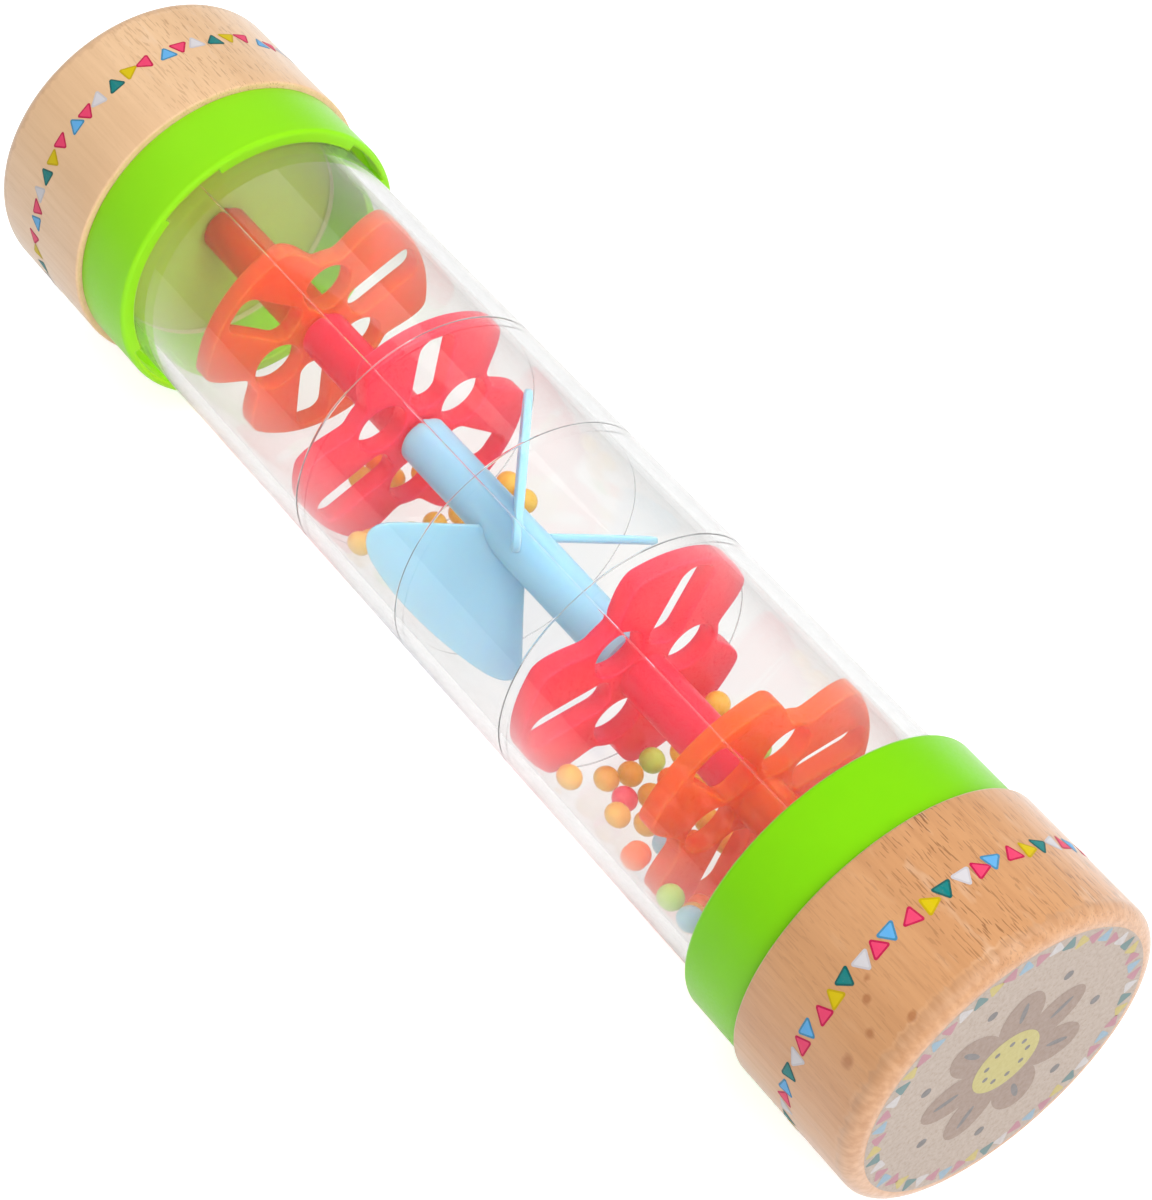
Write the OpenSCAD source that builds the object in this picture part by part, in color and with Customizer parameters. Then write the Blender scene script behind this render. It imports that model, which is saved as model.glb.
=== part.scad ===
// Rain stick: a clear tube between two wooden end caps. Loose beads trickle through slotted discs
// and past a three-bladed propeller, all of them turning freely on one centre rod.
// Millimetres. X runs along the tube, Z is up, the origin is on the floor below the middle.
// Angles round the tube are counted from +Y towards +Z, so 90 is the top and 270 the bottom.

/* [Whole toy] */
// Length over both wooden end caps
total_length = 200; // [185:1:230]

/* [Clear tube] */
// Outside diameter of the clear tube
tube_od = 42.3; // [39:0.1:48]
// Wall thickness of the clear tube
tube_wall = 2; // [1.5:0.1:2.5]
// Distance of the two outer ring lines from the middle
ring_offset = 24; // [16:0.5:34]
// Radius of the round groove that draws a ring line
ring_groove_r = 0.25; // [0.2:0.05:0.6]
// Height of the mould line that runs along the tube
seam_height = 0.12; // [0.06:0.02:0.2]
// Width of the mould line
seam_width = 0.4; // [0.2:0.1:0.8]
// Angle of the upper mould line round the tube
seam_angle = 111; // [90:1:130]

/* [Green collars] */
// Length of a collar from its mouth to the wooden cap
collar_length = 11.2; // [9:0.1:15]
// Wall thickness of the collar ring
collar_wall = 2.15; // [1.6:0.05:3]
// Thickness of the end plate inside the collar
plate_thickness = 1.8; // [1.4:0.1:2.6]
// Rounding of the outer edge at the mouth
collar_edge_r = 0.7; // [0.4:0.1:0.9]
// Gap between the tube and the collar ring
tube_fit = 0.1; // [0.05:0.05:0.2]
// Number of notches in the mouth of a collar
notch_count = 4; // [3:1:6]
// Angle that one notch spans
notch_span = 27; // [16:1:36]
// Middle of the first notch round the tube
notch_angle = 26; // [0:1:60]
// Length of a notch into the collar
notch_length = 3.4; // [2:0.2:5]

/* [Spigots and rod sockets] */
// Outside diameter of the spigot that holds the wooden cap
spigot_od = 34; // [28:0.5:37]
// Wall thickness of the spigot
spigot_wall = 2; // [1.5:0.1:3]
// Length of the spigot behind the end plate
spigot_length = 8; // [6.5:0.5:11]
// Gap between the spigot and the recess in the cap
spigot_fit = 0.1; // [0.05:0.05:0.2]
// Outside diameter of the socket that holds the rod
socket_od = 8; // [6:0.5:11]
// Depth of the rod socket behind the end plate
socket_depth = 4.5; // [3:0.5:5.5]

/* [Wooden end caps] */
// Length of a wooden cap
cap_length = 22.4; // [18:0.2:30]
// How far the cap stands out beyond the collar all round
cap_step = 0.9; // [0.4:0.1:2]
// Rounding of the outer edge of the cap
cap_edge_r = 2.1; // [1:0.1:4]
// Small rounding of the edge beside the collar
cap_joint_r = 0.4; // [0.2:0.1:0.8]

/* [Centre rod] */
// Diameter of the centre rod
rod_d = 3; // [2:0.1:4]
// Gap between the rod and the socket that holds it
socket_fit = 0.02; // [0.01:0.01:0.05]
// Running gap between the rod and a turning hub
running_gap = 0.06; // [0.03:0.01:0.1]
// Play between two hubs along the rod
end_play = 0.35; // [0.3:0.05:0.6]

/* [Slotted discs] */
// Distance from the middle to a pink disc
pink_place = 25.9; // [23:0.1:28]
// Distance from a pink disc to the orange disc beyond it
disc_spacing = 24.9; // [22:0.1:27]
// Thickness of a disc
disc_thickness = 3; // [2.4:0.1:3.6]
// Outside diameter of the hubs
hub_od = 7.4; // [6.6:0.1:8.4]
// Gap between the lobes of a disc and the tube
lobe_gap = 0.35; // [0.3:0.05:0.8]
// Depth of the three rounded valleys between the lobes
valley_depth = 6; // [5:0.2:6.4]
// Angle of the valley floor to each side of its middle
valley_floor = 6; // [2:1:10]
// Angle over which the rim climbs from the valley to the lobe
valley_rise = 22; // [18:1:34]
// Width of the long slot in a lobe
slot_width = 5.7; // [4.6:0.1:6.2]
// Rounding of the corners of a long slot
slot_corner = 1.9; // [1:0.1:2.2]
// Rim left outside a long slot
slot_rim = 1.2; // [1:0.1:2.2]
// Web left between a long slot and the hub
slot_web = 1.7; // [1.2:0.1:2.4]
// Diameter of the round hole in a valley
hole_d = 7.6; // [6:0.1:7.7]
// Rim left outside a round hole
hole_rim = 1; // [0.8:0.1:1.2]
// Angle of a lobe on the left orange disc
orange_left_angle = 19; // [0:1:119]
// Angle of a lobe on the left pink disc
pink_left_angle = 78; // [0:1:119]
// Angle of a lobe on the right pink disc
pink_right_angle = 59; // [0:1:119]
// Angle of a lobe on the right orange disc
orange_right_angle = 1; // [0:1:119]

/* [Propeller] */
// Number of blades
blade_count = 3; // [2:1:4]
// Angle of the first blade
blade_angle = 84.5; // [0:0.5:119]
// Distance of the blades from the middle of their hub, to the left
blade_shift = 1.7; // [0:0.1:4]
// Gap between the blade tips and the tube
blade_gap = 1.75; // [1.2:0.05:3]
// Width of a blade where it meets the axis
blade_root = 4.4; // [3:0.2:8]
// Angle by which each side of a blade flares outwards
blade_flare = 45; // [30:1:48]
// Angle between a blade and the tube axis
blade_pitch = 38; // [34:1:50]
// Thickness of a blade
blade_thickness = 1.1; // [0.9:0.1:2]
// Length over which the two outer corners of a blade are rounded
blade_corner = 5.5; // [2:0.1:6.5]

/* [Beads] */
// Diameter of a bead
bead_d = 3.7; // [3.3:0.1:4.1]
// Gap between a bead and the tube or a disc
bead_gap = 0.35; // [0.3:0.05:0.6]
// Space between two beads in a row
bead_space = 0.4; // [0.2:0.05:0.6]

/* [Hidden] */
$fn = 96;
bore_r = tube_od / 2 - tube_wall;
collar_bore_r = tube_od / 2 + tube_fit;
collar_r = collar_bore_r + collar_wall;
cap_r = collar_r + cap_step;
axis_z = cap_r;
cap_x = total_length / 2 - cap_length;
plate_x = cap_x - plate_thickness;
mouth_x = cap_x - collar_length;
socket_x = cap_x + socket_depth;
notch_depth = collar_wall / 2;
recess_depth = spigot_length + 0.5;
hub_r = hub_od / 2;
hub_bore_r = rod_d / 2 + running_gap;
lobe_r = bore_r - lobe_gap;
valley_r = lobe_r - valley_depth;
pink_x = pink_place;
orange_x = pink_place + disc_spacing;
half_disc = disc_thickness / 2;
blade_r = bore_r - blade_gap;
track_r = bore_r - bead_gap - bead_d / 2;
bead_pitch = bead_d + bead_space;
row_turn = 2 * asin(0.5 * bead_pitch / track_r);
bead_stand = bead_gap + bead_d / 2;

green = [0.55, 0.87, 0.12];
beech = [0.86, 0.68, 0.51];
orange = [0.98, 0.44, 0.25];
pink = [0.98, 0.42, 0.5];
light_blue = [0.63, 0.82, 0.9];
bead_yellow = [0.95, 0.76, 0.3];
bead_orange = [0.95, 0.45, 0.2];
bead_pink = [0.95, 0.4, 0.55];
bead_green = [0.55, 0.8, 0.25];
bead_blue = [0.4, 0.65, 0.9];

// Places a shape drawn along Z onto the tube axis, so that its Z becomes X
module on_axis(x = 0) {
  translate([x, 0, axis_z])
    rotate([90, 0, 90])
      children();
}

// A straight round bar or bore along the axis, from x0 to x1
module round_bar(r, x0, x1) {
  on_axis(x0)
    cylinder(r = r, h = x1 - x0);
}

// A strip of the tube cross-section with one rounded outer corner, for turning about the axis
module edge_profile(r, x0, x1, round0, round1) {
  translate([0, x0 + round0])
    square([r, x1 - x0 - round0 - round1]);
  translate([0, x0])
    square([r - round0, round0 + 0.01]);
  translate([r - round0, x0 + round0])
    circle(r = round0);
  translate([0, x1 - round1 - 0.01])
    square([r - round1, round1 + 0.01]);
  translate([r - round1, x1 - round1])
    circle(r = round1);
}

// Raised mould line along the tube at one angle
module seam(angle) {
  on_axis(0)
    rotate([0, 0, angle])
      translate([tube_od / 2 - 0.5, -seam_width / 2, -mouth_x + 0.6])
        cube([0.5 + seam_height, seam_width, 2 * mouth_x - 1.2]);
}

// Round groove that draws a ring line on the tube
module ring_line(x, r) {
  on_axis(x)
    rotate_extrude()
      translate([tube_od / 2 + r * 0.4, 0])
        circle(r = r);
}

module clear_tube() {
  color([0.93, 0.95, 0.96, 0.3])
    difference() {
      union() {
        round_bar(tube_od / 2, -plate_x, plate_x);
        seam(seam_angle);
        seam(seam_angle + 180);
      }
      round_bar(bore_r, -plate_x - 1, plate_x + 1);
      ring_line(-ring_offset, ring_groove_r);
      ring_line(0, ring_groove_r * 0.7);
      ring_line(ring_offset, ring_groove_r);
    }
}

// One notch cut into the mouth of a collar
module notch(angle) {
  on_axis(mouth_x - 1)
    rotate([0, 0, angle - notch_span / 2])
      rotate_extrude(angle = notch_span)
        translate([collar_bore_r - 0.3, 0])
          square([notch_depth + 0.3, notch_length + 1]);
}

// Collar for the right end: ring, end plate, spigot and rod socket
module collar() {
  color(green)
    difference() {
      union() {
        on_axis(0)
          rotate_extrude()
            edge_profile(collar_r, mouth_x, cap_x, collar_edge_r, 0.2);
        round_bar(spigot_od / 2, cap_x - 0.5, cap_x + spigot_length);
      }
      round_bar(collar_bore_r, mouth_x - 1, plate_x);
      difference() {
        round_bar(spigot_od / 2 - spigot_wall, cap_x, cap_x + spigot_length + 1);
        round_bar(socket_od / 2, cap_x - 1, socket_x + 1.5);
      }
      round_bar(rod_d / 2 + socket_fit, plate_x - 1, socket_x);
      for (i = [0 : notch_count - 1])
        notch(notch_angle + i * 360 / notch_count);
    }
}

module collar_left() {
  mirror([1, 0, 0])
    collar();
}

module collar_right() {
  collar();
}

// Wooden cap for the right end, with the recess for the spigot
module end_cap() {
  color(beech)
    difference() {
      on_axis(0)
        rotate_extrude()
          edge_profile(cap_r, cap_x, total_length / 2, cap_joint_r, cap_edge_r);
      round_bar(spigot_od / 2 + spigot_fit, cap_x - 1, cap_x + recess_depth);
    }
}

module end_cap_left() {
  mirror([1, 0, 0])
    end_cap();
}

module end_cap_right() {
  end_cap();
}

module centre_rod() {
  color([0.75, 0.77, 0.8])
    round_bar(rod_d / 2, -socket_x, socket_x);
}

// Rim radius of a disc at an angle from the middle of a lobe
function rim_blend(t) = t * t * (3 - 2 * t);
function from_valley(a) = abs((a % 120) - 60);
function rim_step(a) = max(0, min(1, (from_valley(a) - valley_floor) / valley_rise));
function rim_r(a) = valley_r + valley_depth * rim_blend(rim_step(a));

// Quarter arc of points about a centre, from angle a
function quarter(x, y, r, a) = [
  for (i = [0 : 6])
    [x + r * cos(a + 15 * i), y + r * sin(a + 15 * i)]
];

// Long slot with rounded corners along +X, from one radius to another
module long_slot(inner, outer) {
  x0 = inner + slot_corner;
  x1 = outer - slot_corner;
  y1 = slot_width / 2 - slot_corner;
  polygon(concat(
    quarter(x1, -y1, slot_corner, -90),
    quarter(x1, y1, slot_corner, 0),
    quarter(x0, y1, slot_corner, 90),
    quarter(x0, -y1, slot_corner, 180)
  ));
}

// Flat outline of a three-lobed disc with a long slot in each lobe and a round hole in each valley
module disc_outline() {
  difference() {
    polygon([for (a = [0 : 3 : 357]) [rim_r(a) * cos(a), rim_r(a) * sin(a)]]);
    for (i = [0 : 2]) {
      rotate(i * 120)
        long_slot(hub_r + slot_web, lobe_r - slot_rim);
      rotate(i * 120 + 60)
        translate([valley_r - hole_rim - hole_d / 2, 0])
          circle(d = hole_d);
    }
  }
}

// Disc for the right half at x, with its hub reaching outwards to hub_end
module disc(x, hub_end, angle) {
  difference() {
    union() {
      on_axis(x - half_disc)
        rotate([0, 0, angle])
          linear_extrude(height = disc_thickness)
            disc_outline();
      round_bar(hub_r, x - half_disc, hub_end);
    }
    round_bar(hub_bore_r, x - half_disc - 1, hub_end + 1);
  }
}

module disc_pink(angle) {
  color(pink)
    disc(pink_x, orange_x - half_disc - end_play, angle);
}

module disc_orange(angle) {
  color(orange)
    disc(orange_x, plate_x - end_play, angle);
}

module disc_orange_left() {
  mirror([1, 0, 0])
    disc_orange(orange_left_angle);
}

module disc_pink_left() {
  mirror([1, 0, 0])
    disc_pink(pink_left_angle);
}

module disc_pink_right() {
  disc_pink(pink_right_angle);
}

module disc_orange_right() {
  disc_orange(orange_right_angle);
}

// Outline of a blade: straight flared sides, and an outer edge that follows the round tube
blade_wide = blade_r / sin(blade_pitch);
side_slope = tan(blade_flare);
side_turn = atan2(blade_r * side_slope, blade_wide);
side_reach = norm([blade_r * side_slope, blade_wide]);
corner_t = side_turn + asin(blade_root / 2 / side_reach);
corner_run = norm([blade_r * sin(corner_t), blade_wide * cos(corner_t)]);
edge_t = corner_t - blade_corner / corner_run * 180 / PI;

function tip_edge(t) = [blade_r * cos(t), blade_wide * sin(t)];
function mixed(a, b, t) = a * (1 - t) + b * t;
function bend(a, b, c, t) = mixed(mixed(a, b, t), mixed(b, c, t), t);
function side_point() = tip_edge(corner_t) - blade_corner * [cos(blade_flare), sin(blade_flare)];
function corner_point(t) = bend(side_point(), tip_edge(corner_t), tip_edge(edge_t), t);
function below(p) = [p[0], -p[1]];

module blade_outline() {
  polygon(concat(
    [[0, -blade_root / 2], [0, blade_root / 2]],
    [for (i = [0 : 8]) corner_point(i / 8)],
    [for (i = [1 : 15]) tip_edge(edge_t * (1 - i / 8))],
    [for (i = [8 : -1 : 0]) below(corner_point(i / 8))]
  ));
}

module blade(angle) {
  rotate([0, 0, angle])
    rotate([90 - blade_pitch, 0, 0])
      translate([0, 0, -blade_thickness / 2])
        linear_extrude(height = blade_thickness)
          blade_outline();
}

module propeller() {
  hub_x = pink_x - half_disc - end_play;
  color(light_blue)
    difference() {
      union() {
        round_bar(hub_r, -hub_x, hub_x);
        on_axis(-blade_shift)
          for (i = [0 : blade_count - 1])
            blade(blade_angle + i * 360 / blade_count);
      }
      round_bar(hub_bore_r, -hub_x - 1, hub_x + 1);
    }
}

// A heap is a list of beads. Each has its row, counted from the bottom of the tube towards +Y, its
// place in that row, counted in bead pitches from the face of a disc, and its colour.
upper_heap = [
  [-1, 1.4, "yellow"], [0, 0.8, "yellow"], [0, 1.9, "orange"], [1, 0.3, "yellow"]
];
middle_heap = [
  [-4, 0.5, "yellow"], [-3, 0.1, "yellow"], [-1, 0, "green"], [0, 0, "yellow"], [0, 1.1, "orange"],
  [1, 0.2, "yellow"], [3, 0.7, "yellow"], [3, 1.7, "yellow"]
];
lower_heap = [
  [-5, 4.2, "orange"], [-4, 0, "yellow"], [-4, 3.7, "orange"], [-3, 1.7, "yellow"],
  [-2, 0, "yellow"], [-2, 1, "pink"], [-2, 2.2, "yellow"], [-2, 3.2, "blue"],
  [-1, 0.1, "yellow"], [-1, 1.2, "yellow"], [-1, 2.4, "yellow"], [-1, 3.5, "orange"],
  [0, 0, "green"], [0, 1, "orange"], [0, 2, "yellow"], [0, 3, "yellow"], [0, 4, "yellow"],
  [1, 0.4, "yellow"], [1, 1.4, "yellow"], [1, 2.4, "orange"], [1, 3.4, "yellow"],
  [2, 0.2, "yellow"], [2, 1.2, "yellow"], [2, 2.2, "green"], [2, 3.2, "yellow"], [2, 4.2, "pink"],
  [3, 0, "yellow"], [3, 1.1, "yellow"], [3, 2.2, "green"], [3, 3.2, "yellow"]
];
end_heap = [
  [-5, 0, "green"], [-5, 1, "blue"], [-4, 0.5, "yellow"], [-4, 1.6, "orange"],
  [-3, 0, "orange"], [-3, 1.1, "yellow"], [-3, 2.2, "pink"],
  [-2, 0.4, "yellow"], [-2, 1.4, "green"], [-2, 2.4, "yellow"],
  [-1, 0, "yellow"], [-1, 1, "orange"], [-1, 2, "blue"], [-1, 3, "yellow"],
  [0, 0.5, "yellow"], [0, 1.5, "pink"], [0, 2.5, "yellow"],
  [1, 0, "yellow"], [1, 1, "green"], [1, 2, "yellow"], [1, 3, "orange"],
  [2, 0.4, "yellow"], [2, 1.4, "yellow"], [2, 2.4, "blue"],
  [3, 0, "pink"], [3, 1.1, "yellow"], [3, 2.2, "yellow"],
  [4, 0.5, "yellow"], [4, 1.6, "green"], [5, 0, "orange"], [5, 1, "yellow"]
];

// Draws the beads of one colour from a heap that starts at a disc face and runs one way along X
module beads_of(heap, name, face, way) {
  for (bead = heap)
    if (bead[2] == name)
      on_axis(face + way * (bead_stand + bead[1] * bead_pitch))
        rotate([0, 0, 270 + bead[0] * row_turn])
          translate([track_r, 0, 0])
            sphere(d = bead_d);
}

module upper_beads(name) {
  beads_of(upper_heap, name, -pink_x - half_disc, -1);
}

module middle_beads(name) {
  beads_of(middle_heap, name, -pink_x + half_disc, 1);
}

module lower_beads(name) {
  beads_of(lower_heap, name, pink_x + half_disc, 1);
}

module end_beads(name) {
  beads_of(end_heap, name, orange_x + half_disc, 1);
}

module upper_beads_yellow() {
  color(bead_yellow)
    upper_beads("yellow");
}

module upper_beads_orange() {
  color(bead_orange)
    upper_beads("orange");
}

module middle_beads_yellow() {
  color(bead_yellow)
    middle_beads("yellow");
}

module middle_beads_orange() {
  color(bead_orange)
    middle_beads("orange");
}

module middle_beads_green() {
  color(bead_green)
    middle_beads("green");
}

module lower_beads_yellow() {
  color(bead_yellow)
    lower_beads("yellow");
}

module lower_beads_orange() {
  color(bead_orange)
    lower_beads("orange");
}

module lower_beads_pink() {
  color(bead_pink)
    lower_beads("pink");
}

module lower_beads_green() {
  color(bead_green)
    lower_beads("green");
}

module lower_beads_blue() {
  color(bead_blue)
    lower_beads("blue");
}

module end_beads_yellow() {
  color(bead_yellow)
    end_beads("yellow");
}

module end_beads_orange() {
  color(bead_orange)
    end_beads("orange");
}

module end_beads_pink() {
  color(bead_pink)
    end_beads("pink");
}

module end_beads_green() {
  color(bead_green)
    end_beads("green");
}

module end_beads_blue() {
  color(bead_blue)
    end_beads("blue");
}

clear_tube();
collar_left();
collar_right();
end_cap_left();
end_cap_right();
centre_rod();
disc_orange_left();
disc_pink_left();
disc_pink_right();
disc_orange_right();
propeller();
upper_beads_yellow();
upper_beads_orange();
middle_beads_yellow();
middle_beads_orange();
middle_beads_green();
lower_beads_yellow();
lower_beads_orange();
lower_beads_pink();
lower_beads_green();
lower_beads_blue();
end_beads_yellow();
end_beads_orange();
end_beads_pink();
end_beads_green();
end_beads_blue();
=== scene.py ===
import math

import bmesh
import bpy
from mathutils import Matrix, Vector


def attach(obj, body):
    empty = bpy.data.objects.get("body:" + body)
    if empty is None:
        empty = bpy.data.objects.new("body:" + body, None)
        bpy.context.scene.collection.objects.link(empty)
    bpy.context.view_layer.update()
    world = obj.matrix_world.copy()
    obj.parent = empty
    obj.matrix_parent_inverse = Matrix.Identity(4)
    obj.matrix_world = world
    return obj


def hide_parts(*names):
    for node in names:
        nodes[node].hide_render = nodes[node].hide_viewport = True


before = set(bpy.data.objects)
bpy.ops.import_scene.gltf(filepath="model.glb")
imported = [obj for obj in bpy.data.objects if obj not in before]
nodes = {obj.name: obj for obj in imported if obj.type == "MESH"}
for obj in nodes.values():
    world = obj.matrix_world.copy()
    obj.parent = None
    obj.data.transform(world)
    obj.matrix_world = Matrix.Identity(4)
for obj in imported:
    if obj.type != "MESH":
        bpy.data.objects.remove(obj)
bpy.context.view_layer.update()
scene = bpy.context.scene

# Sizes of the part in millimetres and degrees, after its source
AXIS = 24.3
HALF = 100.0
CAP_X, PLATE_X, MOUTH_X = 77.6, 75.8, 66.4
TUBE_R, BORE_R, SEAM_ANGLE = 21.15, 19.15, 111.0
COLLAR_BORE, COLLAR_R, COLLAR_EDGE = 21.25, 23.4, 0.7
NOTCH_COUNT, NOTCH_ANGLE, NOTCH_SPAN, NOTCH_LENGTH, NOTCH_DEPTH = 4, 26, 27, 3.4, 1.07
CAP_R, CAP_EDGE, CAP_JOINT = 24.3, 2.1, 0.4
SPIGOT_R, SPIGOT_IN, SPIGOT_X, SPIGOT_FIT, RECESS_X = 17.0, 15.0, 85.6, 0.1, 86.1
SOCKET_R, SOCKET_BORE, SOCKET_X, SOCKET_FLOOR = 4.0, 1.52, 82.1, 1.5
HUB_R, HUB_BORE = 3.7, 1.56
PINK_X, ORANGE_X, DISC_T, END_PLAY = 25.9, 50.8, 3.0, 0.35
ORANGE_LEFT, PINK_LEFT, PINK_RIGHT, ORANGE_RIGHT = 19, 78, 59, 1
LOBE_R, VALLEY_R, VALLEY_FLOOR, VALLEY_RISE = 18.8, 12.8, 6.0, 22.0
SLOT_IN, SLOT_OUT, SLOT_HALF, SLOT_CORNER = 5.4, 17.6, 2.85, 1.9
HOLE_R, HOLE_PLACE = 3.8, 8.0
BLADE_R, BLADE_ROOT, BLADE_FLARE, BLADE_PITCH, BLADE_T = 17.4, 4.4, 45.0, 38.0, 1.1
BLADE_ANGLE, BLADE_SHIFT, BLADE_CORNER = 84.5, -1.7, 5.5
BEAD_D, BEAD_GAP, BEAD_PITCH = 3.7, 0.35, 4.1

# Fine sizes of the dressed part in millimetres
TUBE_END, TUBE_CHAMFER = PLATE_X - 0.06, 0.15
SEAM_STOP, SEAM_HEIGHT, SEAM_HALF = MOUTH_X - 0.5, 0.02, 0.2
RING_FROST, RING_LAND = 0.09, 0.06
COLLAR_CHAMFER, COLLAR_SOFT = 0.2, 0.18
DISC_EDGE, BLADE_EDGE, HUB_EDGE, PROPELLER_EDGE = 0.35, 0.3, 0.3, 0.35
HUB_PROUD, HUB_FILLET, FILLET_SINK, HUB_SEAT = 0.06, 0.4, 0.04, 2.9
BLADE_START = 2.4

MM = 0.001
WHITE = (1, 1, 1, 1)
# Turns a shape drawn in millimetres along Z into metres along X on the tube axis
TO_AXIS = Matrix(((0, 0, MM, 0), (MM, 0, 0, 0), (0, MM, 0, AXIS * MM), (0, 0, 0, 1)))
FLIP_X = Matrix.Diagonal((-1, 1, 1, 1))


# A point in metres, from x and radius in millimetres and the turn about the tube axis in degrees
def point(x, r, turn):
    t = math.radians(turn)
    return (x * MM, r * math.cos(t) * MM, (AXIS + r * math.sin(t)) * MM)


# Small makers for node trees
def srgb(r, g, b):
    def linear(v):
        v /= 255
        return v / 12.92 if v <= 0.04045 else ((v + 0.055) / 1.055) ** 2.4
    return (linear(r), linear(g), linear(b), 1.0)


class Nodes:
    def __init__(self, owner, output):
        self.owner = owner
        owner.use_nodes = True
        self.tree = owner.node_tree
        self.tree.nodes.clear()
        self.out = self.tree.nodes.new(output)

    def put(self, socket, value):
        if isinstance(value, bpy.types.NodeSocket):
            self.tree.links.new(value, socket)
        else:
            socket.default_value = value

    def node(self, kind, **inputs):
        n = self.tree.nodes.new(kind)
        for key, value in inputs.items():
            self.put(n.inputs[key.replace("_", " ")], value)
        return n

    def noise(self, waves, detail=3.0, rough=0.55, shift=(0, 0, 0)):
        spot = self.node("ShaderNodeMapping", Vector=self.coord, Scale=waves, Location=shift).outputs[0]
        n = self.node("ShaderNodeTexNoise", Vector=spot, Scale=1.0, Detail=detail, Roughness=rough)
        return n.outputs["Fac"]

    def axes(self):
        return self.node("ShaderNodeSeparateXYZ", Vector=self.coord).outputs

    def math(self, op, a, b=0.0):
        n = self.tree.nodes.new("ShaderNodeMath")
        n.operation = op
        self.put(n.inputs[0], a)
        self.put(n.inputs[1], b)
        return n.outputs[0]

    def length(self, a, b):
        squares = self.math("ADD", self.math("MULTIPLY", a, a), self.math("MULTIPLY", b, b))
        return self.math("SQRT", squares)

    def spread(self, value, low, high, to_low=0.0, to_high=1.0, smooth=False):
        n = self.tree.nodes.new("ShaderNodeMapRange")
        if smooth:
            n.interpolation_type = "SMOOTHSTEP"
        self.put(n.inputs["Value"], value)
        n.inputs["From Min"].default_value = low
        n.inputs["From Max"].default_value = high
        n.inputs["To Min"].default_value = to_low
        n.inputs["To Max"].default_value = to_high
        return n.outputs["Result"]

    def blend(self, fac, a, b):
        n = self.tree.nodes.new("ShaderNodeMix")
        n.data_type = "RGBA"
        self.put(n.inputs[0], fac)
        self.put(n.inputs[6], a)
        self.put(n.inputs[7], b)
        return n.outputs[2]

    def bump(self, height, strength, distance):
        return self.node("ShaderNodeBump", Height=height, Strength=strength, Distance=distance).outputs[0]

    def ray(self, kind):
        return self.tree.nodes.new("ShaderNodeLightPath").outputs[kind]

    def shader(self, kind, **inputs):
        return self.node("ShaderNode" + kind, **inputs).outputs[0]

    def mix(self, fac, first, second):
        n = self.tree.nodes.new("ShaderNodeMixShader")
        self.put(n.inputs[0], fac)
        self.put(n.inputs[1], first)
        self.put(n.inputs[2], second)
        return n.outputs[0]

    def finish(self, shader):
        self.tree.links.new(shader, self.out.inputs["Surface"])
        return self.owner


def material(name):
    m = Nodes(bpy.data.materials.new(name), "ShaderNodeOutputMaterial")
    m.coord = m.node("ShaderNodeTexCoord").outputs["Object"]
    return m


# Wood: waves per metre of each kind of mark, along the fibres and twice across them
BROAD_WAVES, FIBRE_WAVES, RAY_WAVES = (14, 70, 70), (55, 1500, 1500), (190, 620, 620)
VESSEL_WAVES, PATCH_WAVES = (440, 3900, 3900), (20, 60, 60)
RAGGED_WAVES, STREAK_WAVES = (120, 700, 700), (60, 1000, 1000)
# Heart of the tree beside the cap, waves of the year rings per metre and how far the rings stray
HEART_Y, HEART_Z, YEAR_WAVES, YEAR_STRAY = -0.075, 0.07, 1900.0, 0.004
KNOT_TONE, KNOT_STRAY = srgb(158, 92, 48), 0.0016
EDGE_TONES, EDGE_STRAY = (srgb(182, 134, 96), srgb(204, 160, 124)), 0.0024
# Where along Y the marks are cut open, and where along X the rounded edge and its painted highlight fade, in
# metres
CUT_SIDE, EDGE_BAND = (-0.012, 0.006), (0.0975, 0.0979)
EDGE_HIGHLIGHT_START, EDGE_HIGHLIGHT_END = (0.0971, 0.0974), (0.0975, 0.0978)


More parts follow.
